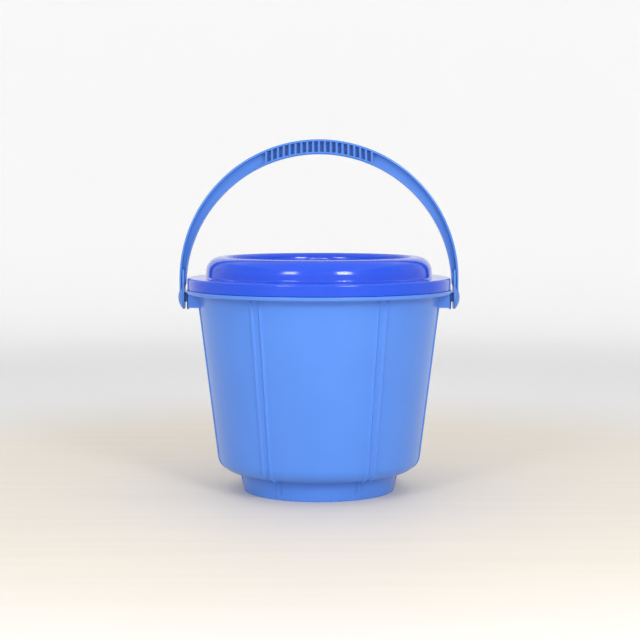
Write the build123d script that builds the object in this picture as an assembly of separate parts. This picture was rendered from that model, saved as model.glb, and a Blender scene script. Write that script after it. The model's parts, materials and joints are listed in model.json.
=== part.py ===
"""Wash bucket with a domed press-on lid and a swinging carry handle.

All lengths are millimetres.  The origin lies on the floor, on the tub's axis.
+Z is up, the front is -Y, and the handle swings about a line along X.
"""

import os

from build123d import *

# ---------------------------------------------------------------- tub
foot_height = 19.0             # floor to the tub's underside
foot_base_radius = 70.0        # foot ring where it meets the floor
foot_top_radius = 72.4         # foot ring where it meets the underside
foot_wall = 2.4
foot_edge_round = 0.9
foot_corner_round = 2.0        # inside corners of the foot ring

wall_base_radius = 91.2        # outside of the wall, carried down to the underside
wall_top_radius = 112.1        # outside of the wall, carried up to the ledge's top
shoulder_round = 14.0          # outside corner between wall and underside
ledge_height = 187.1           # floor to the rim ledge's top
wall = 1.8
floor_thickness = 2.0

rim_overhang = 10.7            # rim's edge beyond the wall
ledge_thickness = 1.8
lip_height = 3.6               # turned-down edge of the ledge
lip_thickness = 1.8
lip_round = 0.6
collar_height = 9.0            # upright ring that the lid fits over
collar_thickness = 1.9
collar_round = 0.8

# raised beads that run down the wall in pairs
bead_pairs = 6
bead_spread = 4.5              # degrees between the two beads of a pair
bead_sweep = 1.8               # degrees that one bead covers
bead_height = 1.0
bead_foot_gap = 2.0            # beads stop this far above the floor

# ears that carry the handle
ear_half_width = 12.0
ear_reach = 10.8               # pivot to the plate's lower edge
ear_wall = 1.6
ear_setback = 0.8              # plate's face inside the rim's edge
ear_lip = 1.4                  # plate below its side webs
boss_wall = 1.12               # boss round the pin's hole
boss_proud = 0.3               # boss beyond the rim's edge

# ---------------------------------------------------------------- lid
lid_setback = 0.9              # skirt's face inside the rim's edge
lid_wall = 1.8
collar_clearance = 0.35        # skirt outside the collar
lid_gap = 0.3                  # lid above the ledge and above the collar
flange_edge_round = 2.0
flange_width = 16.9            # skirt's face to the foot of the dome
flange_rise = 0.4              # slope of the flange up to the dome
dome_height = 19.4             # dome's crest above the flange's edge
dome_draft = 1.4               # dome's side leans in by this much
dome_foot_round = 2.0
crest_round = 9.0
crest_flat = 1.0               # level part between the crest's two rounds
recess_depth = 16.8            # crest to the recess's floor
recess_draft = 1.8
recess_round = 5.0
knob_height = 15.0
knob_base_radius = 10.4
knob_top_radius = 8.6
knob_base_round = 2.4
knob_edge_round = 2.2
dish_radius = 5.2              # shallow dish in the knob's top
dish_depth = 0.9

# ---------------------------------------------------------------- handle
handle_clearance = 0.6         # legs outside the rim's edge
inner_rise = 8.7               # centre of the inner arc above the pivot
outer_rise = 16.5              # centre of the outer arc above the pivot
leg_depth = 5.8                # inner face to outer face at the legs
leg_width = 12.0
grip_width = 16.0
outer_flange = 2.0
inner_flange = 1.2
web_thickness = 2.6

grip_ribs = 19
grip_pitch = 5.4
grip_rib_thickness = 2.3
grip_flange = 2.2              # inner flange along the ribs

tab_radius = 11.1              # round end of each leg
tab_step = 1.0                 # tab's flat face outside the legs' inner face
tab_edge = 2.0                 # thickness at the tab's rim
tab_dome = 4.4                 # bulge of the tab's outer face
neck_height = 26.0             # pivot to where the tab has narrowed to the leg
hub_wall = 0.9                 # ring round the pin that faces the boss
hub_gap = 0.3
pin_radius = 3.6
pin_clearance = 0.08
pin_head_step = 1.6            # snap head beyond the pin, all round
pin_head_length = 2.6
pin_head_chamfer = 1.2
pin_head_gap = 0.3             # head behind the ear's plate and under the ledge

# ---------------------------------------------------------------- worked out
wall_slope = (wall_top_radius - wall_base_radius) / (ledge_height - foot_height)
wall_across = wall * (1 + wall_slope ** 2) ** 0.5
rim_radius = wall_top_radius + rim_overhang

lid_radius = rim_radius - lid_setback
collar_radius = lid_radius - lid_wall - collar_clearance
flange_height = ledge_height + collar_height + lid_gap + lid_wall
crest_height = flange_height + dome_height

ear_face = rim_radius - ear_setback
ear_inside = ear_face - ear_wall
boss_face = rim_radius + boss_proud

leg_inside = rim_radius + handle_clearance
tab_face = leg_inside + tab_step
hole_radius = pin_radius + pin_clearance
hub_radius = pin_radius + hub_wall
pin_head_radius = pin_radius + pin_head_step
pivot_height = ledge_height - ledge_thickness - pin_head_gap - pin_head_radius
arch_top = pivot_height + outer_rise + leg_inside + leg_depth


def turned(outline, degrees=360):
    """Turn a closed outline of (radius, height, corner round) about Z."""
    points = [(radius, height) for radius, height, _ in outline]
    rounds = [corner for _, _, corner in outline]
    section = make_face(FilletPolyline(*points, radius=rounds, close=True))
    return revolve(Plane.XZ * section, Axis.Z, degrees)


def block(x, y, z):
    """Box from its (low, high) limits along X, Y and Z."""
    size = [high - low for low, high in (x, y, z)]
    return Pos(x[0], y[0], z[0]) * Box(*size, align=Align.MIN)


def rod(radius, start, end):
    """Cylinder on the pivot line, between two places along X."""
    return Pos(start, 0, pivot_height) * Rot(0, 90, 0) * Cylinder(
        radius, end - start, align=(Align.CENTER, Align.CENTER, Align.MIN)
    )


def both_sides(half):
    """A piece at +X and the same piece turned round to -X."""
    return half + Rot(0, 0, 180) * half


# ---------------------------------------------------------------- tub
def outer_line(grow, bottom):
    """Foot and wall from a height up to the ledge, moved out by grow."""
    foot_slope = (foot_top_radius - foot_base_radius) / foot_height
    return [
        (foot_base_radius + foot_slope * bottom + grow, bottom, 0),
        (foot_top_radius + grow, foot_height - grow, foot_corner_round - grow),
        (wall_base_radius + grow * (1 - wall_slope), foot_height - grow, shoulder_round + grow),
        (wall_top_radius - wall_slope * ledge_thickness + grow, ledge_height - ledge_thickness, 0),
    ]


def inner_line(top):
    """Inside of the wall from a height down to the floor's middle."""
    floor_top = foot_height + floor_thickness
    floor_radius = wall_base_radius + wall_slope * floor_thickness - wall_across
    top_radius = wall_top_radius + wall_slope * (top - ledge_height) - wall_across
    return [
        (top_radius, top, 0),
        (floor_radius, floor_top, shoulder_round - wall),
        (0, floor_top, 0),
    ]


def tub_shell():
    """Foot ring, floor, wall, rim ledge and collar in one round shape."""
    lip_inside = rim_radius - lip_thickness
    collar_inside = collar_radius - collar_thickness
    collar_top = ledge_height + collar_height
    foot = [
        (0, foot_height, 0),
        (foot_top_radius - foot_wall, foot_height, foot_corner_round),
        (foot_base_radius - foot_wall, 0, foot_edge_round),
        (foot_base_radius, 0, foot_edge_round),
    ]
    rim = [
        (lip_inside, ledge_height - ledge_thickness, 0),
        (lip_inside, ledge_height - lip_height, lip_round),
        (rim_radius, ledge_height - lip_height, lip_round),
        (rim_radius, ledge_height, lip_round),
        (collar_radius, ledge_height, 0),
        (collar_radius, collar_top, collar_round),
        (collar_inside, collar_top, collar_round),
        (collar_inside, ledge_height, 0),
    ]
    return turned(foot + outer_line(0, 0)[1:] + rim + inner_line(ledge_height))


def beads():
    """Pairs of raised beads down the wall, over the shoulder and down the foot."""
    buried = outer_line(-wall / 2, bead_foot_gap)
    bead = turned(outer_line(bead_height, bead_foot_gap) + buried[::-1], bead_sweep)
    placed = []
    for pair in range(bead_pairs):
        middle = (pair + 0.5) * 360 / bead_pairs - 90
        for side in (-0.5, 0.5):
            start = middle + side * bead_spread - bead_sweep / 2
            placed.append(Rot(0, 0, start) * bead)
    return placed


def ear():
    """Plate, two side webs and a boss at +X, before the pin's hole."""
    low = pivot_height - ear_reach
    top = ledge_height - ledge_thickness / 2
    plate = block((ear_inside, ear_face), (-ear_half_width, ear_half_width), (low, top))
    plate = fillet(plate.edges().filter_by(Axis.X).group_by(Axis.Z)[0], ear_lip)
    piece = plate + rod(hole_radius + boss_wall, ear_inside, boss_face)
    for side in (-1, 1):
        edges = sorted((side * ear_half_width, side * (ear_half_width - ear_wall)))
        piece += block((wall_base_radius, ear_face), edges, (low + ear_lip, top))
    hollow_top = ledge_height + collar_height
    return piece - turned(inner_line(hollow_top) + [(0, hollow_top, 0)])


def make_tub():
    tub = tub_shell() + beads() + both_sides(ear())
    hole = rod(hole_radius, ear_inside - 1, boss_face + 1)
    return tub - both_sides(hole)


# ---------------------------------------------------------------- lid
def lid_outside(inset=0.0):
    """Solid under the lid's upper face, with that face moved in by inset."""
    dome_foot = lid_radius - flange_width
    dome_side = dome_foot - dome_draft
    recess_side = dome_side - 2 * crest_round - crest_flat
    recess_foot = recess_side - recess_draft
    recess_floor = crest_height - recess_depth
    knob_top = recess_floor + knob_height
    least_round = 0.2

    def outer_round(radius):
        return max(radius - inset, least_round)

    return turned(
        [
            (0, ledge_height + lid_gap - inset, 0),
            (lid_radius - inset, ledge_height + lid_gap - inset, 0),
            (lid_radius - inset, flange_height - inset, outer_round(flange_edge_round)),
            (dome_foot - inset, flange_height + flange_rise - inset, dome_foot_round + inset),
            (dome_side - inset, crest_height - inset, outer_round(crest_round)),
            (recess_side + inset, crest_height - inset, outer_round(crest_round)),
            (recess_foot + inset, recess_floor - inset, recess_round + inset),
            (knob_base_radius - inset, recess_floor - inset, knob_base_round + inset),
            (knob_top_radius - inset, knob_top - inset, outer_round(knob_edge_round)),
            (dish_radius - inset, knob_top - inset, 0),
            (0, knob_top - dish_depth - inset, 0),
        ]
    )


def make_lid():
    return lid_outside() - lid_outside(lid_wall)


# ---------------------------------------------------------------- handle
def outer_arch(inset):
    """Area under the handle's outer edge, down to the pivot's level."""
    return arch_area(leg_inside + leg_depth - inset, outer_rise)


def inner_arch(outset):
    """Area under the handle's inner edge, down to the pivot's level."""
    return arch_area(leg_inside + outset, inner_rise)


def arch_area(radius, rise):
    """Half disc on two straight legs, drawn about the pivot."""
    half_disc = Pos(0, rise) * Circle(radius)
    legs = Rectangle(2 * radius, rise, align=(Align.CENTER, Align.MIN))
    below = Rectangle(3 * radius, 3 * radius, align=(Align.CENTER, Align.MAX))
    return half_disc + legs - below


def grip_area():
    """Upright ribs across the top of the arch, on a thicker inner flange."""
    half_length = (grip_ribs - 1) * grip_pitch / 2
    strip_height = 2 * leg_inside
    strip = Rectangle(grip_rib_thickness, strip_height, align=(Align.CENTER, Align.MIN))
    band = Rectangle(
        2 * half_length + grip_rib_thickness, strip_height, align=(Align.CENTER, Align.MIN)
    )
    area = (inner_arch(grip_flange) - inner_arch(0)) & band
    between = outer_arch(0) - inner_arch(0)
    for number in range(grip_ribs):
        area += between & Pos(number * grip_pitch - half_length, 0) * strip
    return area


def upright(area, width):
    """Give an area drawn about the pivot its width along Y."""
    return Pos(0, 0, pivot_height) * extrude(Plane.XZ * area, width / 2, both=True)


def width_limit():
    """Block whose width grows from the legs to the grip."""
    outline = Polyline(
        (-leg_width / 2, pivot_height),
        (leg_width / 2, pivot_height),
        (grip_width / 2, arch_top),
        (-grip_width / 2, arch_top),
        close=True,
    )
    return extrude(Plane.YZ * make_face(outline), 2 * rim_radius, both=True)


def trunnion():
    """Snap head, pin, hub and domed tab at +X, turned about the pivot line."""
    head_end = ear_inside - pin_head_gap
    head_start = head_end - pin_head_length
    hub_start = boss_face + hub_gap
    rim = (tab_radius, tab_face + tab_edge)
    crown = (0, tab_face + tab_edge + tab_dome)
    steps = Polyline(
        crown,
        (0, head_start),
        (pin_head_radius - pin_head_chamfer, head_start),
        (pin_head_radius, head_start + pin_head_chamfer),
        (pin_head_radius, head_end),
        (pin_radius, head_end),
        (pin_radius, hub_start),
        (hub_radius, hub_start),
        (hub_radius, tab_face),
        (tab_radius, tab_face),
        rim,
    )
    dome = TangentArc(crown, rim, tangent=(1, 0))
    turned_piece = revolve(Plane.XZ * make_face(steps + dome), Axis.Z)
    return Pos(0, 0, pivot_height) * Rot(0, 90, 0) * turned_piece


def neck():
    """Plate at +X that narrows from the tab to the leg."""
    top = pivot_height + neck_height
    outline = Polyline(
        (-tab_radius, pivot_height),
        (tab_radius, pivot_height),
        (leg_width / 2, top),
        (-leg_width / 2, top),
        close=True,
    )
    return extrude(Plane.YZ.offset(tab_face) * make_face(outline), tab_edge)


def make_handle():
    flanges = (outer_arch(0) - outer_arch(outer_flange)) + (inner_arch(inner_flange) - inner_arch(0))
    web = outer_arch(outer_flange / 2) - inner_arch(inner_flange / 2)
    frame = upright(flanges + grip_area(), 2 * grip_width) & width_limit()
    frame += upright(web, web_thickness)
    frame -= both_sides(rod(tab_radius, leg_inside - 1, tab_face))
    return frame + both_sides(trunnion() + neck())


def handle_parts():
    """The handle's bow and its two ends, which meet face to face where the necks run out."""
    handle = make_handle()
    cut = pivot_height + neck_height
    reach = 2 * rim_radius
    regions = {
        "handle_bow": block((-reach, reach), (-reach, reach), (cut, cut + reach)),
        "handle_end_right": block((0, reach), (-reach, reach), (0, cut)),
        "handle_end_left": block((-reach, 0), (-reach, reach), (0, cut)),
    }
    return {name: handle & region for name, region in regions.items()}


pieces = {"tub": make_tub(), "lid": make_lid()} | handle_parts()
os.makedirs("parts", exist_ok=True)
for name, piece in pieces.items():
    print(name, piece.volume)
    export_step(piece, f"parts/{name}.step")
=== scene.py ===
"""Wash bucket: a tapered tub, a domed press-on lid and a carry handle in glossy moulded plastic.

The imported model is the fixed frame: Z is up, the front is -Y and the handle's pivots lie along X.
Each piece is a closed mesh in metres, built where the frame has its own plain version.
"""

import json
import math

import bmesh
import bpy
import numpy as np
from bpy.props import BoolProperty, FloatProperty, FloatVectorProperty, IntProperty, PointerProperty
from bpy.types import Operator, Panel, PropertyGroup
from mathutils import Euler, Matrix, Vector


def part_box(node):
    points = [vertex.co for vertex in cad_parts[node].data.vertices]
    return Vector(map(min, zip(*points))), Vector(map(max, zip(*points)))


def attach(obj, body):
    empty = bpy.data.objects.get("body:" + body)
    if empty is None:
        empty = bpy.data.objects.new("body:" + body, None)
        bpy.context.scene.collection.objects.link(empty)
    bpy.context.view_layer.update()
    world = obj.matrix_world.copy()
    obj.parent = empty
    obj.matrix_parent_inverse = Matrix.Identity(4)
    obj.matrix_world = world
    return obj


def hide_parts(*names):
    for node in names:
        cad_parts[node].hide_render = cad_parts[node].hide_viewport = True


bl_info = {
    "name": "Wash Bucket",
    "version": (1, 0, 0),
    "blender": (4, 5, 0),
    "location": "View3D > Sidebar > Bucket",
    "description": "Builds a lidded wash bucket with its finishes, stage and lights",
    "category": "Add Mesh",
}

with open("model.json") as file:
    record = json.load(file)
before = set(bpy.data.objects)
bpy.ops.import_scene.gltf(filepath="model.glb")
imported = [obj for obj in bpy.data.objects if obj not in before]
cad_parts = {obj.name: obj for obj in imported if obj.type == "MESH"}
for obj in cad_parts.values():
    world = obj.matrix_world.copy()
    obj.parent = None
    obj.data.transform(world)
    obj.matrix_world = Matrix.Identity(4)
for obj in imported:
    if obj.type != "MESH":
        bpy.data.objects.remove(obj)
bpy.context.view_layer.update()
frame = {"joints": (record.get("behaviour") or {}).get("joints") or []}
_, TUB_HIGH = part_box("tub")
LID_LOW, LID_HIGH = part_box("lid")
PIVOT = next(joint for joint in frame["joints"] if joint["type"] == "hinge")["pos_m"][2]

MM = 0.001
AIM = Vector((0, 0, LID_LOW.z))    # what the lights face
SUPPORT = 0.35 * MM            # distance of the loops that hold a flat beside a round
WELD = 1e-7                    # points closer than this become one
ARC_TURN = math.radians(11)    # largest turn between two points of a round
SHARP_TURN = math.radians(38)  # faces that meet at more than this keep a sharp edge
BEVEL_TURN = math.radians(25)  # edges of a block that turn more than this are rounded
LID_COLUMNS = 288
END_COLUMNS = 72
STAGE_COLUMNS = 128
CAP_STEPS = 14                 # steps from the middle of a round end's bulge to its edge
LEG_STATIONS = 12
BOW_STATIONS = 96
LEG_HEADING = 1.5              # heading from the top, in radians, past which the bow is a leg
BLACK = (0.0, 0.0, 0.0, 1.0)
WHITE = (1.0, 1.0, 1.0, 1.0)


# ------------------------------------------------------------------ settings
def length(name, millimetres, description):
    return FloatProperty(
        name=name,
        description=description,
        default=millimetres * MM,
        min=0.0,
        precision=5,
        subtype="DISTANCE",
        unit="LENGTH",
    )


def angle(name, degrees, description):
    return FloatProperty(
        name=name,
        description=description,
        default=math.radians(degrees),
        subtype="ANGLE",
        unit="ROTATION",
    )


def share(name, value, description):
    return FloatProperty(
        name=name, description=description, default=value, min=0.0, max=1.0, subtype="FACTOR"
    )


def number(name, value, description):
    return FloatProperty(name=name, description=description, default=value, min=0.0)


def colour(name, value, description):
    return FloatVectorProperty(
        name=name, description=description, default=value, size=3, min=0.0, max=1.0, subtype="COLOR"
    )


class TubSizes(PropertyGroup):
    """Sizes of the tub's shell."""

    foot_height: length("Foot height", 19.0, "Floor to the tub's underside")
    foot_base: length("Foot radius, low", 70.0, "Foot ring where it meets the floor")
    foot_top: length("Foot radius, high", 72.4, "Foot ring where it meets the underside")
    foot_wall: length("Foot wall", 2.4, "Thickness of the foot ring")
    wall_base: length("Wall radius, low", 91.2, "Outside of the wall, carried down to the underside")
    wall_top: length("Wall radius, high", 112.1, "Outside of the wall at the rim ledge")
    shoulder: length("Shoulder round", 14.0, "Outside corner between wall and underside")
    ledge_root: length("Ledge root", 1.6, "Round between the wall and the ledge")
    wall: length("Wall", 1.8, "Thickness of the wall")
    floor: length("Floor", 2.0, "Thickness of the tub's floor")
    rim: length("Rim radius", TUB_HIGH.y / MM, "Outer edge of the rim")
    ledge_height: length("Ledge height", 187.1, "Floor to the top of the rim's ledge")
    ledge: length("Ledge", 1.8, "Thickness of the rim's ledge")
    lip_height: length("Lip height", 3.6, "Turned-down edge of the ledge")
    lip: length("Lip", 1.8, "Thickness of the turned-down edge")
    collar: length("Collar radius", 119.75, "Outside of the upright ring inside the lid")
    collar_wall: length("Collar wall", 1.9, "Thickness of the upright ring")
    collar_top: length("Collar top", TUB_HIGH.z / MM, "Floor to the top of the upright ring")


class BeadSizes(PropertyGroup):
    """Sizes of the raised beads that run down the wall in pairs."""

    pairs: IntProperty(name="Pairs", description="Pairs of beads round the tub", default=6, min=1)
    spread: angle("Spread", 4.5, "Angle between the two beads of a pair")
    half_width: angle("Half width", 1.15, "Angle from a bead's crest to where it ends")
    height: length("Height", 1.7, "Height of a bead's crest")
    fade_low: length("Fade start", 2.5, "Height above the floor where a bead begins")
    fade_high: length("Fade end", 8.0, "Height above the floor where a bead has its full height")


class EarSizes(PropertyGroup):
    """Sizes of the two ears that carry the handle."""

    half_width: length("Half width", 12.0, "Half the width of the ear's plate")
    reach: length("Reach", 10.8, "Pivot to the plate's lower edge")
    inside: length("Plate inside", 120.4, "Axis to the plate's inner face")
    face: length("Plate face", 122.0, "Axis to the plate's outer face")
    web: length("Web", 1.6, "Thickness of the side webs")
    lip: length("Lip", 1.4, "How far the plate hangs below the webs")
    corner: length("Corner", 1.8, "Round on the plate's lower corners")
    flare: length("Flare", 3.4, "Height over which a web runs out on the wall")
    boss: length("Boss radius", 4.8, "Outside of the ring round the pin")
    hole: length("Hole radius", 3.68, "Inside of the ring round the pin")
    boss_face: length("Boss face", TUB_HIGH.x / MM, "Axis to the ring's outer face")


class LidSizes(PropertyGroup):
    """Sizes of the lid."""

    radius: length("Radius", LID_HIGH.x / MM, "Outside of the skirt")
    wall: length("Wall", 1.8, "Thickness of the lid")
    skirt_low: length("Skirt bottom", LID_LOW.z / MM, "Floor to the skirt's lower edge")
    flange: length("Flange height", 198.2, "Floor to the flange's edge")
    flange_rise: length("Flange rise", 0.4, "Slope of the flange up to the dome")
    flange_round: length("Flange round", 2.0, "Round on the flange's edge")
    dome_foot: length("Dome foot", 105.0, "Radius of the foot of the dome")
    dome_root: length("Dome root", 2.0, "Round between the flange and the dome")
    dome_side: length("Dome side", 103.6, "Radius of the dome's outer side at its crest")
    crest: length("Crest height", LID_HIGH.z / MM, "Floor to the dome's crest")
    crest_outside: length("Outer crest round", 13.4, "Round from the dome's side to its crest")
    crest_inside: length("Inner crest round", 5.4, "Round from the crest to the recess")
    recess_side: length("Recess side", 84.6, "Radius of the recess at the crest")
    recess_foot: length("Recess foot", 82.8, "Radius of the recess at its floor")
    recess_floor: length("Recess floor", 200.8, "Floor to the recess's bottom")
    recess_round: length("Recess round", 5.0, "Round at the recess's bottom")
    knob_foot: length("Knob foot", 10.4, "Radius of the knob at the recess's floor")
    knob_side: length("Knob side", 8.6, "Radius of the knob at its top")
    knob_top: length("Knob top", 215.8, "Floor to the knob's top")
    knob_round: length("Knob round", 2.2, "Round on the knob's edge")
    knob_root: length("Knob root", 2.4, "Round between the knob and the recess's floor")
    dish: length("Dish radius", 5.2, "Radius of the dish in the knob's top")
    dish_depth: length("Dish depth", 0.9, "Depth of that dish")


class HandleSizes(PropertyGroup):
    """Sizes of the handle's bow, ribs and ends."""

    outer: length("Outer radius", 129.2, "Radius of the bow's outer edge")
    outer_rise: length("Outer rise", 16.5, "Centre of the outer arc above the pivot")
    inner: length("Inner radius", 123.4, "Radius of the bow's inner edge")
    inner_rise: length("Inner rise", 8.7, "Centre of the inner arc above the pivot")
    leg_width: length("Leg width", 12.0, "Width of the bow at its legs")
    grip_width: length("Grip width", 16.0, "Width of the bow at the grip")
    outer_flange: length("Outer flange", 2.0, "Thickness of the outer flange")
    inner_flange: length("Inner flange", 1.2, "Thickness of the inner flange")
    grip_flange: length("Grip flange", 2.2, "Thickness of the inner flange along the ribs")
    web: length("Web", 2.6, "Thickness of the web between the flanges")
    edge: length("Edge round", 0.4, "Rounds on the flanges' edges that face the web")
    brim: share("Brim", 0.6, "Round on a flange's other edges, as a share of its thickness")
    root: length("Root round", 0.7, "Rounds between flange and web")
    ribs: IntProperty(name="Ribs", description="Ribs along the grip", default=19, min=1)
    pitch: length("Rib pitch", 5.4, "Distance from rib to rib")
    rib: length("Rib thickness", 2.3, "Thickness of a rib")
    rib_round: length("Rib round", 0.95, "Round on a rib's upright edges")
    rib_setback: length("Rib setback", 0.25, "Ribs inside the flanges' edges")
    rib_sink: length("Rib sink", 0.8, "Length of a rib's end inside a flange")
    tab: length("Tab radius", 11.1, "Radius of the round end")
    tab_face: length("Tab face", 124.4, "Axis to the round end's inner face")
    tab_edge: length("Tab edge", 2.0, "Thickness of the round end at its rim")
    dome: length("Dome", 4.4, "Bulge of the round end's outer face")
    neck: length("Neck height", 26.0, "Pivot to where the end has narrowed to the leg")
    hub: length("Hub radius", 4.5, "Ring round the pin that faces the boss")
    hub_face: length("Hub face", 123.4, "Axis to that ring's inner face")
    pin: length("Pin radius", 3.6, "Radius of the pin")
    pin_head: length("Pin head radius", 5.2, "Radius of the snap head")
    head_face: length("Head face", 120.1, "Axis to the snap head's outer face")
    head_end: length("Head end", 117.5, "Axis to the snap head's inner end")
    head_chamfer: length("Head chamfer", 1.2, "Lead-in on the snap head")


class PlasticFinish:
    """What the three finishes have in common."""

    roughness: share("Roughness", 0.3, "Roughness of the plastic itself")
    gloss_spread: share("Gloss spread", 0.08, "How much the roughness wanders")
    coat: share("Skin gloss", 0.12, "Weight of the smooth moulded skin")
    coat_roughness: share("Skin roughness", 0.09, "Roughness of the smooth moulded skin")
    mottle: share("Mottle", 0.025, "How much the colour wanders")
    peel: length("Peel", 0.006, "Depth of the fine unevenness of the skin")
    flow: length("Flow marks", 0.048, "Depth of the long marks left by the flow in the mould")
    scuff: share("Scuffs", 0.35, "Strength of the scuffs where the piece is handled or set down")
    scuff_depth: length("Scuff depth", 0.01, "Depth of the scuffs")


class TubFinish(PlasticFinish, PropertyGroup):
    """Look of the tub."""

    colour: colour("Colour", (0.074, 0.245, 0.80), "Colour of the tub")


class LidFinish(PlasticFinish, PropertyGroup):
    """Look of the lid."""

    colour: colour("Colour", (0.006, 0.075, 0.72), "Colour of the lid")
    roughness: share("Roughness", 0.15, "Roughness of the plastic itself")
    coat: share("Skin gloss", 0.15, "Weight of the smooth moulded skin")
    coat_roughness: share("Skin roughness", 0.05, "Roughness of the smooth moulded skin")


class HandleFinish(PlasticFinish, PropertyGroup):
    """Look of the handle."""

    colour: colour("Colour", (0.06, 0.225, 0.70), "Colour of the handle")


class StageSettings(PropertyGroup):
    """Floor, backdrop, lights and camera."""

    floor_colour: colour("Floor", (0.86, 0.79, 0.69), "Colour of the floor")
    wall_colour: colour("Wall", (0.90, 0.90, 0.90), "Colour of the backdrop")
    wall_glow: number("Wall glow", 0.26, "Light that the backdrop itself gives")
    side_dim: share("Side dimming", 1.0, "How much less of it the sides give")
    wall_distance: length("Wall distance", 2600.0, "Axis to the backdrop, which stands all round")
    wall_top: length("Wall height", 3000.0, "Height of the backdrop")
    bend: length("Bend", 900.0, "Radius of the bend from floor to backdrop")
    bare: length("Bare floor", 320.0, "Axis to where the floor starts to turn white")
    sky: number("Room light", 0.3, "Brightness of the room all round")
    box_distance: length("Light distance", 1500.0, "Distance of the two large lights")
    left_turn: angle("Left light", -29.0, "Direction of the left light from the front")
    right_turn: angle("Right light", 25.0, "Direction of the right light from the front")
    box_rise: angle("Light height", 22.0, "Angle of the lights above the level")
    box_width: length("Light width", 330.0, "Width of a light")
    box_height: length("Light length", 400.0, "Height of a light")
    left_power: number("Left power", 4.8, "Power of the left light in watts")
    right_power: number("Right power", 7.2, "Power of the right light in watts")
    top_power: number("Top power", 17.5, "Power of the light overhead in watts")
    top_size: length("Top light", 3200.0, "Width and length of the light overhead")
    top_height: length("Top light height", 1800.0, "Floor to the light overhead")
    camera_place: FloatVectorProperty(
        name="Camera",
        description="Place of the camera",
        default=(0.00093, -1.531, 0.2775),
        subtype="XYZ",
        unit="LENGTH",
    )
    camera_tilt: angle("Camera tilt", -4.45, "How far the camera looks down")
    lens: number("Lens", 92.8, "Focal length in millimetres")
    neutral: BoolProperty(
        name="Neutral picture", description="Leave out the film-like tone curve", default=True
    )


class BucketSettings(PropertyGroup):
    """Everything that can be set on the bucket and its stage."""

    tub: PointerProperty(type=TubSizes)
    beads: PointerProperty(type=BeadSizes)
    ears: PointerProperty(type=EarSizes)
    lid: PointerProperty(type=LidSizes)
    handle: PointerProperty(type=HandleSizes)
    tub_finish: PointerProperty(type=TubFinish)
    lid_finish: PointerProperty(type=LidFinish)
    handle_finish: PointerProperty(type=HandleFinish)
    stage: PointerProperty(type=StageSettings)


# ------------------------------------------------------------------ nodes
class Value:
    """A node socket that Python's operators work on, so that maths reads as maths."""

    def __init__(self, graph, socket):
        self.graph = graph
        self.socket = socket

    def __add__(self, other):
        return self.graph.math("ADD", self, other)

    __radd__ = __add__

    def __sub__(self, other):
        return self.graph.math("SUBTRACT", self, other)

    def __rsub__(self, other):
        return self.graph.math("SUBTRACT", other, self)

    def __mul__(self, other):
        return self.graph.math("MULTIPLY", self, other)

    __rmul__ = __mul__

    def __truediv__(self, other):
        return self.graph.math("DIVIDE", self, other)

    def __rtruediv__(self, other):
        return self.graph.math("DIVIDE", other, self)

    def __pow__(self, other):
        return self.graph.math("POWER", self, other)

    def __abs__(self):
        return self.graph.math("ABSOLUTE", self)

    def root(self):
        return self.graph.math("SQRT", self)

    def cosine(self):
        return self.graph.math("COSINE", self)

    def at_least(self, other):
        return self.graph.math("MAXIMUM", self, other)

    def at_most(self, other):
        return self.graph.math("MINIMUM", self, other)


class Graph:
    """Adds nodes to one tree."""

    def __init__(self, tree):
        self.tree = tree

    def node(self, kind, settings=None, inputs=None, output=0):
        """One node: its settings first, then the values or links of its sockets."""
        made = self.tree.nodes.new(kind)
        for name, value in (settings or {}).items():
            setattr(made, name, value)
        for name, value in (inputs or {}).items():
            self.feed(made.inputs[name], value)
        return Value(self, made.outputs[output]) if made.outputs else made

    def feed(self, socket, value):
        if isinstance(value, Value):
            self.tree.links.new(value.socket, socket)
        else:
            socket.default_value = value

    def math(self, operation, *values):
        return self.node("ShaderNodeMath", {"operation": operation}, dict(enumerate(values)))

    def parts(self, vector):
        """X, Y and Z of a vector."""
        split = self.node("ShaderNodeSeparateXYZ", inputs={"Vector": vector})
        return [Value(self, socket) for socket in split.socket.node.outputs]

    def point(self, x, y, z):
        return self.node("ShaderNodeCombineXYZ", inputs={"X": x, "Y": y, "Z": z})

    def scaled(self, vector, factor):
        settings = {"operation": "SCALE"}
        return self.node("ShaderNodeVectorMath", settings, {"Vector": vector, "Scale": factor})

    def between(self, value, low, high, from_low=0.0, to_high=1.0):
        """A smooth step from one value to another while value goes from low to high."""
        settings = {"interpolation_type": "SMOOTHSTEP", "clamp": True}
        limits = {1: low, 2: high, 3: from_low, 4: to_high}
        return self.node("ShaderNodeMapRange", settings, {0: value, **limits})

    def noise(self, vector, scale, detail=2.0, roughness=0.5):
        inputs = {"Vector": vector, "Scale": scale, "Detail": detail, "Roughness": roughness}
        return self.node("ShaderNodeTexNoise", {"noise_dimensions": "3D"}, inputs)

    def mixed(self, factor, first, second):
        """One colour into another."""
        settings = {"data_type": "RGBA"}
        return self.node("ShaderNodeMix", settings, {0: factor, 6: first, 7: second}, output=2)


def new_graph(owner):
    """A graph in the emptied node tree of a material or a world."""
    owner.use_nodes = True
    owner.node_tree.nodes.clear()
    return Graph(owner.node_tree)


def rgba(colour_value, factor=1.0):
    """A colour made darker or paler, with its alpha."""
    return (*(min(1.0, channel * factor) for channel in colour_value), 1.0)


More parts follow.
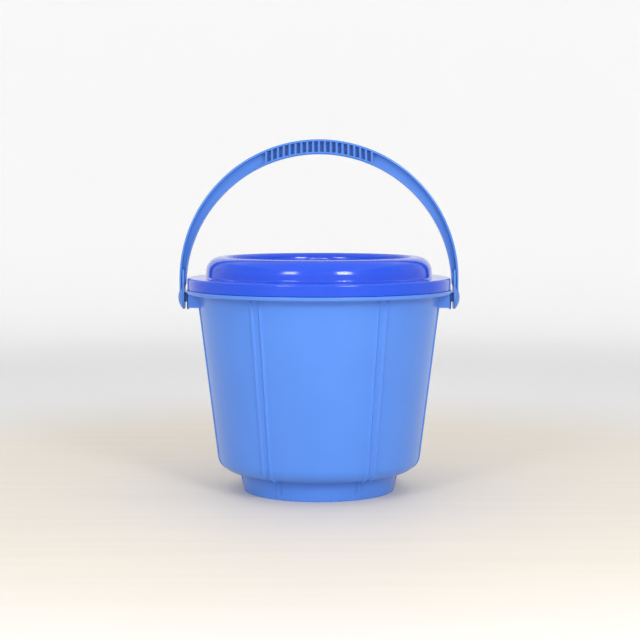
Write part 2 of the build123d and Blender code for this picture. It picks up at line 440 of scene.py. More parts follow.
def moulded_plastic(name, finish, worn):
    """Glossy moulded plastic: worn(graph, x, z, radius) gives where it gets scuffed."""
    material = bpy.data.materials.new(name)
    graph = new_graph(material)
    spot = graph.node("ShaderNodeTexCoord", output="Object")
    x, y, z = graph.parts(spot)
    radius = (x * x + y * y).root()

    # unevenness in order of size, then the streaks of the flow and fine upright scratches
    broad = graph.noise(spot, 7.0, 1.0, 0.5)
    cloud = graph.noise(spot, 26.0, 3.0, 0.55)
    peel = graph.noise(spot, 340.0, 2.0, 0.45)
    grain = graph.noise(spot, 1500.0, 1.0, 0.5)
    spread = 9.0 / radius.at_least(MM)
    flow = graph.noise(graph.point(x * spread, y * spread, z * 6.0), 2.2, 4.0, 0.6)
    scratch = graph.noise(graph.point(x, y, z * 0.18), 2600.0, 2.0, 0.6)

    touched = worn(graph, x, z, radius)
    scuffed = touched * graph.between(scratch, 0.53, 0.68) * finish.scuff

    tone = (cloud - 0.5) * finish.mottle + (broad - 0.5) * finish.mottle + 0.5
    deep = rgba([channel * 0.86 for channel in finish.colour])
    pale = rgba([channel * 1.12 + 0.008 for channel in finish.colour])
    base = graph.mixed(graph.between(tone, 0.44, 0.56), deep, pale)
    rubbed = rgba([0.55 * channel + 0.36 for channel in finish.colour])
    base = graph.mixed(scuffed * 0.6, base, rubbed)

    roughness = (cloud - 0.5) * finish.gloss_spread + (grain - 0.5) * finish.gloss_spread * 0.5
    roughness = roughness + scuffed * 0.3 + touched * 0.03 + finish.roughness

    height = peel * finish.peel + flow * finish.flow - scuffed * finish.scuff_depth
    bump = graph.node("ShaderNodeBump", inputs={"Strength": 1.0, "Distance": 1.0, "Height": height})
    skin = finish.coat * (1.0 - scuffed)
    shader = graph.node(
        "ShaderNodeBsdfPrincipled",
        inputs={
            "Base Color": base,
            "Roughness": roughness,
            "IOR": 1.49,
            "Coat Weight": skin,
            "Coat Roughness": finish.coat_roughness,
            "Coat IOR": 1.5,
            "Normal": bump,
        },
    )
    graph.node("ShaderNodeOutputMaterial", inputs={"Surface": shader})
    return material


def worn_tub(graph, x, z, radius):
    """Scuffs on the foot, low on the shoulder and along the rim's edge."""
    foot = 1.0 - graph.between(z, 1.0 * MM, 7.0 * MM)
    lip = graph.between(radius, 121.9 * MM, 122.7 * MM)
    shoulder = graph.between(radius, 70.0 * MM, 84.0 * MM)
    shoulder = shoulder * (1.0 - graph.between(z, 20.0 * MM, 34.0 * MM))
    return foot.at_least(lip * 0.3).at_least(shoulder * 0.35)


def worn_lid(graph, x, z, radius):
    """Scuffs on the flange's edge, the crest and the knob."""
    edge = graph.between(radius, 119.9 * MM, 120.9 * MM) * graph.between(z, 196.6 * MM, 197.4 * MM)
    crest = graph.between(z, 216.6 * MM, 217.5 * MM)
    knob = 1.0 - graph.between(radius, 8.0 * MM, 12.0 * MM)
    return edge.at_least(crest * 0.5).at_least(knob * 0.4)


def worn_handle(graph, x, z, radius):
    """Scuffs along the top of the bow and on the round ends."""
    grip = graph.between(z, 298.0 * MM, 320.0 * MM)
    ends = graph.between(abs(x), 128.4 * MM, 130.6 * MM)
    return (grip * 0.45).at_least(ends)


# ------------------------------------------------------------------ meshes
def rounded(corners, closed=False):
    """Points along an outline of (x, y, corner radius), in the unit of its numbers."""
    count = len(corners)
    runs = []
    for index, (x, y, radius) in enumerate(corners):
        here = np.array((x, y), float)
        if radius == 0 or (not closed and index in (0, count - 1)):
            runs.append([here])
            continue
        back = np.array(corners[index - 1][:2], float) - here
        ahead = np.array(corners[(index + 1) % count][:2], float) - here
        back, ahead = back / np.linalg.norm(back), ahead / np.linalg.norm(ahead)
        inside = math.acos(np.clip(back @ ahead, -1, 1))
        middle = (back + ahead) / np.linalg.norm(back + ahead) * radius / math.sin(inside / 2)
        start = back * radius / math.tan(inside / 2) - middle
        end = ahead * radius / math.tan(inside / 2) - middle
        sweep = math.atan2(start[0] * end[1] - start[1] * end[0], start @ end)
        steps = max(3, math.ceil(abs(sweep) / ARC_TURN))
        arc = []
        for turn in np.linspace(0, sweep, steps + 1):
            c = math.cos(turn)
            s = math.sin(turn)
            turned = np.array((start[0] * c - start[1] * s, start[0] * s + start[1] * c))
            arc.append(here + middle + turned)
        runs.append(arc)
    points = []
    for index in range(count):
        points += runs[index]
        if index == count - 1 and not closed:
            break
        first, second = runs[index][-1], runs[(index + 1) % count][0]
        gap = np.linalg.norm(second - first)
        if gap > 3 * SUPPORT:
            step = (second - first) / gap * SUPPORT
            points += [first + step, second - step]
    return np.array(points)


def add_skin(bm, rows, wrap=False, caps=False):
    """Faces between rows of points; a row closes on itself, and a row of one point is a pole."""
    made = [[bm.verts.new(point) for point in row] for row in rows]
    pairs = list(zip(made, made[1:]))
    if wrap:
        pairs.append((made[-1], made[0]))
    for first, second in pairs:
        count = max(len(first), len(second))
        for k in range(count):
            j = (k + 1) % count
            ring = [
                first[k % len(first)],
                first[j % len(first)],
                second[j % len(second)],
                second[k % len(second)],
            ]
            bm.faces.new(list(dict.fromkeys(ring)))
    if caps:
        bm.faces.new(made[0])
        bm.faces.new(made[-1])
    return made


def add_block(bm, front, back, bevel):
    """A prism between two matching loops, with its edges rounded."""
    before = set(bm.faces)
    add_skin(bm, [front, back], caps=True)
    new_edges = {edge for face in bm.faces if face not in before for edge in face.edges}
    sharp = [edge for edge in new_edges if edge.calc_face_angle(0) > BEVEL_TURN]
    bmesh.ops.bevel(
        bm, geom=sharp, offset=bevel, segments=3, profile=0.5, affect="EDGES", clamp_overlap=True
    )


def ring_points(radius, height, angles):
    """One level ring of a turned piece, or its pole."""
    if radius < WELD:
        return [(0.0, 0.0, height)]
    return [(radius * math.cos(a), radius * math.sin(a), height) for a in angles]


def turned_rows(outline, angles):
    return [ring_points(max(0.0, radius), height, angles) for radius, height in outline]


def piece_from(bm, name, material):
    """Object of a finished bmesh: outward faces, smooth but for its true edges."""
    bmesh.ops.remove_doubles(bm, verts=bm.verts, dist=WELD)
    bmesh.ops.recalc_face_normals(bm, faces=bm.faces)
    mesh = bpy.data.meshes.new(name)
    bm.to_mesh(mesh)
    bm.free()
    mesh.materials.append(material)
    smooth(mesh)
    piece = bpy.data.objects.new(name, mesh)
    bpy.context.scene.collection.objects.link(piece)
    return piece


def smooth(mesh):
    mesh.polygons.foreach_set("use_smooth", [True] * len(mesh.polygons))
    mesh.set_sharp_from_angle(angle=SHARP_TURN)


def place(piece, body, slot, *nodes):
    """Give a piece its body and hide the frame's nodes that it stands for; slot is not used."""
    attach(piece, body)
    if nodes:
        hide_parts(*nodes)


def both_sides(rows):
    """The rows at +X and the same rows turned round to -X."""
    return rows, [[(-x, -y, z) for x, y, z in row] for row in rows]


# ------------------------------------------------------------------ geometry nodes
def new_tree(name, inputs):
    """A geometry tree with named inputs: (name, socket kind, default)."""
    tree = bpy.data.node_groups.new(name, "GeometryNodeTree")
    tree.interface.new_socket("Geometry", in_out="INPUT", socket_type="NodeSocketGeometry")
    tree.interface.new_socket("Geometry", in_out="OUTPUT", socket_type="NodeSocketGeometry")
    for title, kind, default in inputs:
        made = tree.interface.new_socket(title, in_out="INPUT", socket_type=kind)
        if default is not None:
            made.default_value = default
    graph = Graph(tree)
    source = tree.nodes.new("NodeGroupInput")
    return tree, graph, {socket.name: Value(graph, socket) for socket in source.outputs}


def end_tree(graph, geometry, material):
    real = graph.node("GeometryNodeRealizeInstances", inputs={"Geometry": geometry})
    dressed = graph.node(
        "GeometryNodeSetMaterial", inputs={"Geometry": real, "Material": material}
    )
    graph.node("NodeGroupOutput", inputs={"Geometry": dressed})


def apply_tree(piece, tree, values):
    """Run a tree on a piece, and keep the result as its plain mesh."""
    modifier = piece.modifiers.new(tree.name, "NODES")
    modifier.node_group = tree
    for item in tree.interface.items_tree:
        if item.in_out == "INPUT" and item.name in values:
            modifier[item.identifier] = values[item.name]
    bpy.context.view_layer.update()
    evaluated = piece.evaluated_get(bpy.context.evaluated_depsgraph_get())
    result = bpy.data.meshes.new_from_object(evaluated)
    piece.modifiers.remove(modifier)
    piece.data = result
    result.name = piece.name
    smooth(result)


def bead_tree():
    """Raises beads in pairs along a turned shell, where its bead_room is above 0."""
    tree, graph, given = new_tree(
        "Raised beads",
        [
            ("Pairs", "NodeSocketInt", 6),
            ("Spread", "NodeSocketFloat", 0.08),
            ("Half Width", "NodeSocketFloat", 0.02),
            ("Height", "NodeSocketFloat", 0.001),
            ("Material", "NodeSocketMaterial", None),
        ],
    )
    x, y, _ = graph.parts(graph.node("GeometryNodeInputPosition"))
    heading = graph.math("ARCTAN2", y, x) + math.pi / 2
    sector = 2 * math.pi / given["Pairs"]
    off_pair = graph.math("WRAP", heading - sector / 2, sector / 2, sector * -0.5)
    off_bead = abs(abs(off_pair) - given["Spread"] / 2) / given["Half Width"]
    swell = ((off_bead.at_most(1.0) * math.pi).cosine() + 1.0) * 0.5
    room = graph.node(
        "GeometryNodeInputNamedAttribute", {"data_type": "FLOAT"}, {"Name": "bead_room"}
    )
    normal = graph.node("GeometryNodeInputNormal")
    offset = graph.scaled(normal, swell * room * given["Height"])
    moved = graph.node(
        "GeometryNodeSetPosition", inputs={"Geometry": given["Geometry"], "Offset": offset}
    )
    end_tree(graph, moved, given["Material"])
    return tree


def rib_tree():
    """Copies one rib along the grip, each as tall as the bow is there."""
    tree, graph, given = new_tree(
        "Grip ribs",
        [
            ("Count", "NodeSocketInt", 19),
            ("Pitch", "NodeSocketFloat", 0.0054),
            ("Outer Radius", "NodeSocketFloat", 0.1),
            ("Outer Centre", "NodeSocketFloat", 0.1),
            ("Inner Radius", "NodeSocketFloat", 0.1),
            ("Inner Centre", "NodeSocketFloat", 0.1),
            ("Sink", "NodeSocketFloat", 0.001),
            ("Rib Height", "NodeSocketFloat", 0.01),
            ("Material", "NodeSocketMaterial", None),
        ],
    )
    start = (given["Count"] - 1.0) * given["Pitch"] * -0.5
    line = graph.node(
        "GeometryNodeMeshLine",
        {"mode": "OFFSET"},
        {
            "Count": given["Count"],
            "Start Location": graph.point(start, 0.0, 0.0),
            "Offset": graph.point(given["Pitch"], 0.0, 0.0),
        },
    )
    x, _, _ = graph.parts(graph.node("GeometryNodeInputPosition"))
    top = given["Outer Centre"] + (given["Outer Radius"] ** 2.0 - x * x).root() - given["Sink"]
    low = given["Inner Centre"] + (given["Inner Radius"] ** 2.0 - x * x).root() + given["Sink"]
    tall = graph.node("GeometryNodeCaptureAttribute", inputs={"Geometry": line}).socket.node
    tall.capture_items.new("FLOAT", "Stretch")
    graph.feed(tall.inputs["Stretch"], (top - low) / given["Rib Height"])
    placed = graph.node(
        "GeometryNodeSetPosition",
        inputs={
            "Geometry": Value(graph, tall.outputs["Geometry"]),
            "Offset": graph.point(0.0, 0.0, (top + low) * 0.5),
        },
    )
    stretch = graph.point(1.0, 1.0, Value(graph, tall.outputs["Stretch"]))
    ribs = graph.node(
        "GeometryNodeInstanceOnPoints",
        inputs={"Points": placed, "Instance": given["Geometry"], "Scale": stretch},
    )
    end_tree(graph, ribs, given["Material"])
    return tree


# ------------------------------------------------------------------ tub
def wall_radius(tub, z):
    """Outside radius of the tub's wall at a height."""
    slope = (tub.wall_top - tub.wall_base) / (tub.ledge_height - tub.foot_height)
    return tub.wall_base + slope * (z - tub.foot_height)


def tub_angles(beads):
    """Headings of the shell's columns, close together at the beads."""
    sector = 2 * math.pi / beads.pairs
    near = beads.spread / 2 + beads.half_width * 1.15    # just past a bead's end
    fine = np.linspace(-near, near, 33)
    coarse = np.linspace(near, sector - near, 27)[1:-1]
    headings = []
    for pair in range(beads.pairs):
        middle = (pair + 0.5) * sector - math.pi / 2
        headings += [middle + a for a in fine] + [middle + a for a in coarse]
    return headings


def tub_outline(tub):
    """Half section of the tub, from the middle of its underside to the middle of its floor."""
    floor_top = tub.foot_height + tub.floor
    under_ledge = tub.ledge_height - tub.ledge
    lip_low = tub.ledge_height - tub.lip_height
    wall = tub.wall * 1.008    # measured level, across the slanted wall
    return rounded(
        [
            (0, tub.foot_height, 0),
            (tub.foot_top - tub.foot_wall, tub.foot_height, 2.0 * MM),
            (tub.foot_base - tub.foot_wall, 0, 0.9 * MM),
            (tub.foot_base, 0, 0.9 * MM),
            (tub.foot_top, tub.foot_height, 2.0 * MM),
            (tub.wall_base, tub.foot_height, tub.shoulder),
            (wall_radius(tub, under_ledge), under_ledge, tub.ledge_root),
            (tub.rim - tub.lip, under_ledge, 0.5 * MM),
            (tub.rim - tub.lip, lip_low, 0.25 * MM),
            (tub.rim, lip_low, 1.5 * MM),
            (tub.rim, tub.ledge_height, 0.7 * MM),
            (tub.collar, tub.ledge_height, 0.4 * MM),
            (tub.collar, tub.collar_top, 0.8 * MM),
            (tub.collar - tub.collar_wall, tub.collar_top, 0.8 * MM),
            (tub.collar - tub.collar_wall, tub.ledge_height, 0.5 * MM),
            (wall_radius(tub, tub.ledge_height) - wall, tub.ledge_height, 1.5 * MM),
            (wall_radius(tub, floor_top) - wall, floor_top, tub.shoulder - tub.wall),
            (0, floor_top, 0),
        ]
    )


def bead_room(tub, beads, radius, height):
    """How much of a bead's height there is at a point on the outside of the shell."""
    under_ledge = tub.ledge_height - tub.ledge
    on_wall = abs(radius - wall_radius(tub, height)) < 0.3 * MM
    on_foot = height < tub.foot_height + tub.shoulder and radius > tub.foot_base - 0.2 * MM
    if height > under_ledge - 0.1 * MM or not (on_wall or on_foot):
        return 0.0
    rise = (height - beads.fade_low) / (beads.fade_high - beads.fade_low)
    fade = min(1.0, max(0.0, rise))
    close = min(1.0, max(0.0, (under_ledge - height) / tub.ledge_root))
    return fade * fade * (3 - 2 * fade) * close


class BUCKET_OT_tub_shell(Operator):
    """Make the tub's foot, wall, rim and collar, with its raised beads"""

    bl_idname = "wash_bucket.tub_shell"
    bl_label = "Tub Shell"

    def execute(self, context):
        settings = context.scene.wash_bucket
        tub, beads = settings.tub, settings.beads
        plastic = moulded_plastic("tub plastic", settings.tub_finish, worn_tub)
        outline = tub_outline(tub)
        outer_end = int(np.argmax(outline[:, 0]))
        bm = bmesh.new()
        room_layer = bm.verts.layers.float.new("bead_room")
        rows = add_skin(bm, turned_rows(outline, tub_angles(beads)))
        for index, (row, (radius, height)) in enumerate(zip(rows, outline)):
            room = bead_room(tub, beads, radius, height) if index < outer_end else 0.0
            for vertex in row:
                vertex[room_layer] = room
        shell = piece_from(bm, "tub_shell", plastic)
        values = {
            "Pairs": beads.pairs,
            "Spread": beads.spread,
            "Half Width": beads.half_width,
            "Height": beads.height,
            "Material": plastic,
        }
        apply_tree(shell, bead_tree(), values)
        place(shell, "tub", "tub", "tub")
        return {"FINISHED"}


def plate_outline(ear, tub):
    """Outline of the ear's plate as (y, z), with points about a millimetre apart."""
    low = PIVOT - ear.reach
    top = tub.ledge_height - tub.ledge / 2
    side = ear.half_width
    corners = [
        (-side, top, 0),
        (-side, low, ear.corner),
        (side, low, ear.corner),
        (side, top, 0),
    ]
    points = rounded(corners, closed=True)
    full = []
    for first, second in zip(points, np.roll(points, -1, axis=0)):
        pieces = max(1, round(np.linalg.norm(second - first) / MM))
        full += [first + (second - first) * k / pieces for k in range(pieces)]
    return np.array(full)


def ear_rows(ear, tub):
    """Loops of the plate with its boss and the pin's hole, at +X."""
    outline = plate_outline(ear, tub)
    headings = np.arctan2(outline[:, 1] - PIVOT, outline[:, 0])
    order = np.argsort(headings)
    outline, headings = outline[order], headings[order]
    edge = 0.4 * MM

    def loop(x, inset):
        """The plate's outline drawn in towards the pivot."""
        pull = np.array((0.0, PIVOT)) - outline
        pull = pull / np.linalg.norm(pull, axis=1)[:, None]
        return [(x, y, z) for y, z in outline + pull * inset * 1.2]

    def circle(x, radius):
        return [(x, radius * math.cos(a), PIVOT + radius * math.sin(a)) for a in headings]

    return [
        circle(ear.inside, ear.hole + 0.2 * MM),
        loop(ear.inside, edge),
        loop(ear.inside + 0.3 * edge, 0.3 * edge),
        loop(ear.inside + edge, 0.0),
        loop(ear.face - edge, 0.0),
        loop(ear.face - 0.3 * edge, 0.3 * edge),
        loop(ear.face, edge),
        loop(ear.face, edge + SUPPORT),
        circle(ear.face, ear.boss + 0.8 * MM),
        circle(ear.face, ear.boss + 0.45 * MM),
        circle(ear.face + 0.12 * MM, ear.boss + 0.12 * MM),
        circle(ear.face + 0.4 * MM, ear.boss),
        circle(ear.boss_face - 0.3 * MM, ear.boss),
        circle(ear.boss_face - 0.09 * MM, ear.boss - 0.09 * MM),
        circle(ear.boss_face, ear.boss - 0.3 * MM),
        circle(ear.boss_face, ear.hole + 0.2 * MM),
        circle(ear.boss_face - 0.2 * MM, ear.hole),
        circle(ear.inside + 0.2 * MM, ear.hole),
    ]


def web_outline(ear, tub):
    """Outline of an ear's side web as (x, z), from inside the tub's wall to the plate."""
    low = PIVOT - ear.reach + ear.lip
    top = tub.ledge_height - tub.ledge / 2

    def buried(z):
        """Distance along X to the middle of the tub's wall, at the web."""
        radius = wall_radius(tub, z) - tub.wall / 2
        return math.sqrt(radius**2 - (ear.half_width - ear.web / 2) ** 2)

    inside_face = ear.face - 0.3 * MM
    return rounded(
        [
            (buried(low - ear.flare), low - ear.flare, 0),
            (buried(low) + 1.2 * MM, low, 3.0 * MM),
            (inside_face, low, 0.6 * MM),
            (inside_face, top, 0),
            (buried(top), top, 0),
        ],
        closed=True,
    )


class BUCKET_OT_ears(Operator):
    """Make the two ears with their bosses and pin holes"""

    bl_idname = "wash_bucket.ears"
    bl_label = "Ears"

    def execute(self, context):
        settings = context.scene.wash_bucket
        tub, ear = settings.tub, settings.ears
        bm = bmesh.new()
        for rows in both_sides(ear_rows(ear, tub)):
            add_skin(bm, rows, wrap=True)
        web = web_outline(ear, tub)
        for side in (-1, 1):
            outside, inside = side * ear.half_width, side * (ear.half_width - ear.web)
            loops = [[(x, outside, z) for x, z in web], [(x, inside, z) for x, z in web]]
            for front, back in both_sides(loops):
                add_block(bm, front, back, 0.3 * MM)
        plastic = bpy.data.materials["tub plastic"]
        place(piece_from(bm, "ears", plastic), "tub", "tub")
        return {"FINISHED"}


# ------------------------------------------------------------------ lid
def lid_outline(lid):
    """Half section of the lid, from the middle of its knob's dish round to the underside."""
    wall = lid.wall
    outer = [
        (0, lid.knob_top - lid.dish_depth, 0),
        (lid.dish * 0.55, lid.knob_top - lid.dish_depth * 0.92, 6.0 * MM),
        (lid.dish, lid.knob_top, 1.2 * MM),
        (lid.knob_side, lid.knob_top, lid.knob_round),
        (lid.knob_foot, lid.recess_floor, lid.knob_root),
        (lid.recess_foot, lid.recess_floor, lid.recess_round),
        (lid.recess_side, lid.crest, lid.crest_inside),
        (lid.dome_side, lid.crest, lid.crest_outside),
        (lid.dome_foot, lid.flange + lid.flange_rise, lid.dome_root),
        (lid.radius, lid.flange, lid.flange_round),
        (lid.radius, lid.skirt_low, 0.5 * MM),
        (lid.radius - wall, lid.skirt_low, 0.5 * MM),
    ]
    inner = [
        (lid.radius - wall, lid.flange - wall, 0.5 * MM),
        (lid.dome_foot - wall, lid.flange + lid.flange_rise - wall, lid.dome_root + wall),
        (lid.dome_side - wall, lid.crest - wall, lid.crest_outside - wall),
        (lid.recess_side + wall, lid.crest - wall, lid.crest_inside - wall),
        (lid.recess_foot + wall, lid.recess_floor - wall, lid.recess_round + wall),
        (lid.knob_foot - wall, lid.recess_floor - wall, lid.knob_root + wall),
        (lid.knob_side - wall, lid.knob_top - wall, 0.6 * MM),
        (0, lid.knob_top - lid.dish_depth - wall, 0),
    ]
    return rounded(outer + inner)


class BUCKET_OT_lid_shell(Operator):
    """Make the lid with its skirt, flange, dome, recess and knob"""

    bl_idname = "wash_bucket.lid_shell"
    bl_label = "Lid Shell"

    def execute(self, context):
        settings = context.scene.wash_bucket
        plastic = moulded_plastic("lid plastic", settings.lid_finish, worn_lid)
        bm = bmesh.new()
        headings = np.linspace(0, 2 * math.pi, LID_COLUMNS, endpoint=False)
        add_skin(bm, turned_rows(lid_outline(settings.lid), headings))
        place(piece_from(bm, "lid_shell", plastic), "lid", "lid", "lid")
        return {"FINISHED"}


# ------------------------------------------------------------------ handle
def bow_width(handle, z):
    """Half the handle's width at a height."""
    top = PIVOT + handle.outer_rise + handle.outer
    grown = (z - PIVOT) / (top - PIVOT)
    return (handle.leg_width + (handle.grip_width - handle.leg_width) * grown) / 2


def grip_reach(handle):
    """Distance along X from the middle of the grip to the outside of its last rib."""
    return ((handle.ribs - 1) * handle.pitch + handle.rib) / 2


def bow_stations(handle):
    """(heading from the top, share of the way down a leg) along the bow."""
    grip_end = math.asin(grip_reach(handle) / handle.inner)
    headings = list(np.linspace(-math.pi / 2, math.pi / 2, BOW_STATIONS))
    headings += [side * (grip_end + nudge) for side in (-1, 1) for nudge in (-0.002, 0.002)]
    legs = np.linspace(1, 0, LEG_STATIONS, endpoint=False)
    left = [(-math.pi / 2, down) for down in legs]
    right = [(math.pi / 2, down) for down in reversed(legs)]
    return left + [(heading, 0.0) for heading in sorted(headings)] + right


def bow_point(handle, station, part, depth, side, base, back):
    """A point of the bow's section: depth in from an edge, and its place across the width."""
    heading, down = station
    rise, radius = handle.inner_rise, handle.inner + depth
    if part == "outer":
        rise, radius = handle.outer_rise, handle.outer - depth
    z = PIVOT + rise * (1 - down) + radius * math.cos(heading)
    x = radius * math.sin(heading)
    if part == "inner" and abs(heading) > LEG_HEADING:
        # beside the round end, the leg's inner edge steps out to just past the end's face
        step = handle.tab_face - handle.inner + 0.15 * MM
        below = (PIVOT + handle.tab + 1.2 * MM - z) / (2.0 * MM)
        x += math.copysign(step * min(1.0, max(0.0, below)), heading)
    if base == "wide":
        y = side * (bow_width(handle, z) - back)
    else:
        y = side * (handle.web / 2 + back)
    return (x, y, z)


def bow_section(handle, inner_flange):
    """The I-shaped section as (part, depth, side, base, back), once round."""

    def quarter(radius):
        """A quarter round as (depth, back), from a face into the next one."""
        turns = np.radians((0, 22.5, 45, 67.5, 90))
        return [(radius * (1 - math.cos(t)), radius * (1 - math.sin(t))) for t in turns]

    def flank(part, flange):
        """One side of a flange, from its free edge to its root at the web."""
        brim = [(part, depth, "wide", back) for depth, back in quarter(handle.brim * flange)]
        edge = [(part, flange - depth, "wide", back) for depth, back in quarter(handle.edge)]
        root = [(part, flange + depth, "thin", back) for depth, back in quarter(handle.root)]
        return brim + edge[::-1] + root

    half = flank("outer", handle.outer_flange) + flank("inner", inner_flange)[::-1]
    near = [(part, depth, 1, base, back) for part, depth, base, back in half]
    far = [(part, depth, -1, base, back) for part, depth, base, back in reversed(half)]
    return near + far


class BUCKET_OT_handle_bow(Operator):
    """Make the handle's flanged bow"""

    bl_idname = "wash_bucket.handle_bow"
    bl_label = "Handle Bow"

    def execute(self, context):
        settings = context.scene.wash_bucket
        handle = settings.handle
        plastic = moulded_plastic("handle plastic", settings.handle_finish, worn_handle)
        rows = []
        for station in bow_stations(handle):
            in_grip = abs(handle.inner * math.sin(station[0])) < grip_reach(handle)
            flange = handle.grip_flange if in_grip else handle.inner_flange
            section = bow_section(handle, flange)
            rows.append([bow_point(handle, station, *point) for point in section])
        bm = bmesh.new()
        add_skin(bm, rows, caps=True)
        place(piece_from(bm, "carry_bow", plastic), "handle", "handle", "handle_bow")
        return {"FINISHED"}


def end_outline(handle):
    """Half section of a round end, hub, pin and snap head as (radius, distance along X)."""
    rim = handle.tab_face + handle.tab_edge
    ball = (handle.tab**2 + handle.dome**2) / (2 * handle.dome)
    spread = math.asin(handle.tab / ball)
    cap = [
        (ball * math.sin(turn), rim + handle.dome - ball * (1 - math.cos(turn)))
        for turn in np.linspace(0, spread, CAP_STEPS, endpoint=False)
    ]
    rest = rounded(
        [
            cap[-1] + (0,),
            (handle.tab, rim, 0.8 * MM),
            (handle.tab, handle.tab_face, 0.5 * MM),
            (handle.hub, handle.tab_face, 0.3 * MM),
            (handle.hub, handle.hub_face, 0.2 * MM),
            (handle.pin, handle.hub_face, 0.1 * MM),
            (handle.pin, handle.head_face, 0.1 * MM),
            (handle.pin_head, handle.head_face, 0.3 * MM),
            (handle.pin_head, handle.head_end + handle.head_chamfer, 0.3 * MM),
            (handle.pin_head - handle.head_chamfer, handle.head_end, 0.3 * MM),
            (0, handle.head_end, 0),
        ]
    )
    return cap[:-1] + [tuple(point) for point in rest]


class BUCKET_OT_handle_ends(Operator):
    """Make the handle's two round ends with their necks and pins"""

    bl_idname = "wash_bucket.handle_ends"
    bl_label = "Handle Ends"

    def execute(self, context):
        handle = context.scene.wash_bucket.handle
        bm = bmesh.new()
        headings = np.linspace(0, 2 * math.pi, END_COLUMNS, endpoint=False)
        level = turned_rows(end_outline(handle), headings)
        rows = [[(z, y, PIVOT + x) for x, y, z in row] for row in level]
        neck_top = PIVOT + handle.neck
        narrow = bow_width(handle, neck_top)
        neck = rounded(
            [
                (-handle.tab, PIVOT, 0),
                (handle.tab, PIVOT, 0),
                (narrow, neck_top, 1.5 * MM),
                (-narrow, neck_top, 1.5 * MM),
            ],
            closed=True,
        )
        face = handle.tab_face + 0.05 * MM
        outer = handle.tab_face + handle.tab_edge
        loops = [[(face, y, z) for y, z in neck], [(outer, y, z) for y, z in neck]]
        for side in both_sides(rows):
            add_skin(bm, side)
        for front, back in both_sides(loops):
            add_block(bm, front, back, 0.5 * MM)
        plastic = bpy.data.materials["handle plastic"]
        ends = piece_from(bm, "handle_ends", plastic)
        place(ends, "handle", "handle", "handle_end_right", "handle_end_left")
        return {"FINISHED"}


class BUCKET_OT_grip_ribs(Operator):
    """Make the upright ribs along the grip"""

    bl_idname = "wash_bucket.grip_ribs"
    bl_label = "Grip Ribs"

    def execute(self, context):
        handle = context.scene.wash_bucket.handle
        plastic = bpy.data.materials["handle plastic"]
        outer_centre = PIVOT + handle.outer_rise
        inner_centre = PIVOT + handle.inner_rise
        top = outer_centre + handle.outer
        tall = top - inner_centre - handle.inner - 2 * handle.rib_sink
        middle = top - 7 * MM    # half-way between the bow's two edges
        wide = bow_width(handle, middle) - handle.rib_setback
        thick = handle.rib / 2
        corners = [(thick, -wide), (thick, wide), (-thick, wide), (-thick, -wide)]
        section = rounded([(x, y, handle.rib_round) for x, y in corners], closed=True)
        bm = bmesh.new()
        add_skin(bm, [[(x, y, z) for x, y in section] for z in (-tall / 2, tall / 2)], caps=True)
        ribs = piece_from(bm, "grip_ribs", plastic)
        values = {
            "Count": handle.ribs,
            "Pitch": handle.pitch,
            "Outer Radius": handle.outer,
            "Outer Centre": outer_centre,
            "Inner Radius": handle.inner,
            "Inner Centre": inner_centre,
            "Sink": handle.rib_sink,
            "Rib Height": tall,
            "Material": plastic,
        }
        apply_tree(ribs, rib_tree(), values)
        place(ribs, "handle", "handle")
        return {"FINISHED"}


# ------------------------------------------------------------------ stage
def stage_material(stage):
    """A pale floor that turns into a near-white backdrop, which glows in front and behind."""
    material = bpy.data.materials.new("floor and wall")
    graph = new_graph(material)
    x, y, z = graph.parts(graph.node("ShaderNodeTexCoord", output="Object"))
    away = (x * x + y * y).root()
    grain = graph.noise(graph.point(x * 0.6, y * 9.0, z), 6.0, 4.0, 0.6)
    darker, paler = rgba(stage.floor_colour, 0.985), rgba(stage.floor_colour, 1.015)
    floor = graph.mixed(graph.between(grain, 0.3, 0.7), darker, paler)
    white = graph.between(away, stage.bare, stage.bare * 2.5)
    glow_full = stage.wall_distance - stage.bend * 0.3
    wall = graph.between(away, stage.wall_distance * 0.4, glow_full)
    side = graph.between(abs(x) / away.at_least(MM), 0.45, 0.95)
    glow = wall * (1.0 - side * stage.side_dim)
    shader = graph.node(
        "ShaderNodeBsdfPrincipled",
        inputs={
            "Base Color": graph.mixed(white, floor, rgba(stage.wall_colour)),
            "Emission Color": graph.mixed(glow, BLACK, rgba(stage.wall_colour)),
            "Emission Strength": stage.wall_glow,
            "Roughness": 0.6,
            "Specular IOR Level": 0.25,
        },
    )
    graph.node("ShaderNodeOutputMaterial", inputs={"Surface": shader})
    return material


def add_light(name, offset, size, power):
    """A large soft light that faces AIM from an offset."""
    light = bpy.data.lights.new(name, "AREA")
    light.shape = "RECTANGLE"
    light.size, light.size_y = size
    light.energy = power
    lamp = bpy.data.objects.new(name, light)
    lamp.location = AIM + offset
    lamp.rotation_euler = (-offset).to_track_quat("-Z", "Y").to_euler()
    lamp.visible_camera = False
    bpy.context.scene.collection.objects.link(lamp)


def from_front(distance, rise, turn):
    """Offset at a distance in front, raised above the level and turned about Z."""
    offset = Vector((0, -distance, 0))
    offset.rotate(Euler((-rise, 0, 0)))
    offset.rotate(Euler((0, 0, turn)))
    return offset


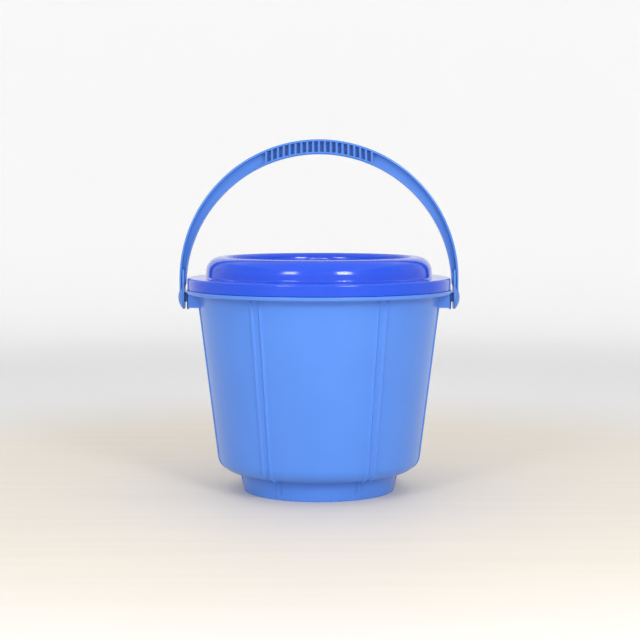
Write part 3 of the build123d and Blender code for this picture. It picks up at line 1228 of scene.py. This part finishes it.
class BUCKET_OT_stage(Operator):
    """Make the floor, the backdrop, the lights and the camera"""

    bl_idname = "wash_bucket.stage"
    bl_label = "Stage"

    def execute(self, context):
        scene = context.scene
        stage = scene.wash_bucket.stage
        wall = stage.wall_distance
        profile = rounded([(0, 0, 0), (wall, 0, stage.bend), (wall, stage.wall_top, 0)])
        bm = bmesh.new()
        headings = np.linspace(0, 2 * math.pi, STAGE_COLUMNS, endpoint=False)
        add_skin(bm, turned_rows(profile, headings))
        piece_from(bm, "floor_and_wall", stage_material(stage))

        box = (stage.box_width, stage.box_height)
        left = from_front(stage.box_distance, stage.box_rise, stage.left_turn)
        right = from_front(stage.box_distance, stage.box_rise, stage.right_turn)
        add_light("left light", left, box, stage.left_power)
        add_light("right light", right, box, stage.right_power)
        overhead = Vector((0, 0, stage.top_height)) - AIM
        add_light("top light", overhead, (stage.top_size, stage.top_size), stage.top_power)
        world = bpy.data.worlds.new("room")
        graph = new_graph(world)
        sky = graph.node("ShaderNodeBackground", inputs={"Color": WHITE, "Strength": stage.sky})
        graph.node("ShaderNodeOutputWorld", inputs={"Surface": sky})
        scene.world = world
        if stage.neutral:
            scene.view_settings.view_transform = "Standard"

        camera = bpy.data.objects.new("camera", bpy.data.cameras.new("camera"))
        camera.data.lens = stage.lens
        camera.data.sensor_width = 36.0
        camera.location = stage.camera_place
        camera.rotation_euler = Euler((math.pi / 2 + stage.camera_tilt, 0, 0))
        scene.collection.objects.link(camera)
        scene.camera = camera
        return {"FINISHED"}


# ------------------------------------------------------------------ add-on
class BUCKET_PT_sidebar(Panel):
    """The bucket's pieces, in the order they are made"""

    bl_idname = "BUCKET_PT_sidebar"
    bl_label = "Wash Bucket"
    bl_space_type = "VIEW_3D"
    bl_region_type = "UI"
    bl_category = "Bucket"

    def draw(self, context):
        for operator in PIECES:
            self.layout.operator(operator.bl_idname)


PIECES = (
    BUCKET_OT_stage,
    BUCKET_OT_tub_shell,
    BUCKET_OT_ears,
    BUCKET_OT_lid_shell,
    BUCKET_OT_handle_bow,
    BUCKET_OT_handle_ends,
    BUCKET_OT_grip_ribs,
)
GROUPS = (
    TubSizes,
    BeadSizes,
    EarSizes,
    LidSizes,
    HandleSizes,
    TubFinish,
    LidFinish,
    HandleFinish,
    StageSettings,
    BucketSettings,
)


def register():
    for made in (*GROUPS, *PIECES, BUCKET_PT_sidebar):
        bpy.utils.register_class(made)
    bpy.types.Scene.wash_bucket = PointerProperty(type=BucketSettings)


def unregister():
    del bpy.types.Scene.wash_bucket
    for made in reversed((*GROUPS, *PIECES, BUCKET_PT_sidebar)):
        bpy.utils.unregister_class(made)


def main():
    register()
    for operator in PIECES:
        group, name = operator.bl_idname.split(".")
        getattr(getattr(bpy.ops, group), name)()


if __name__ == "__main__":
    main()
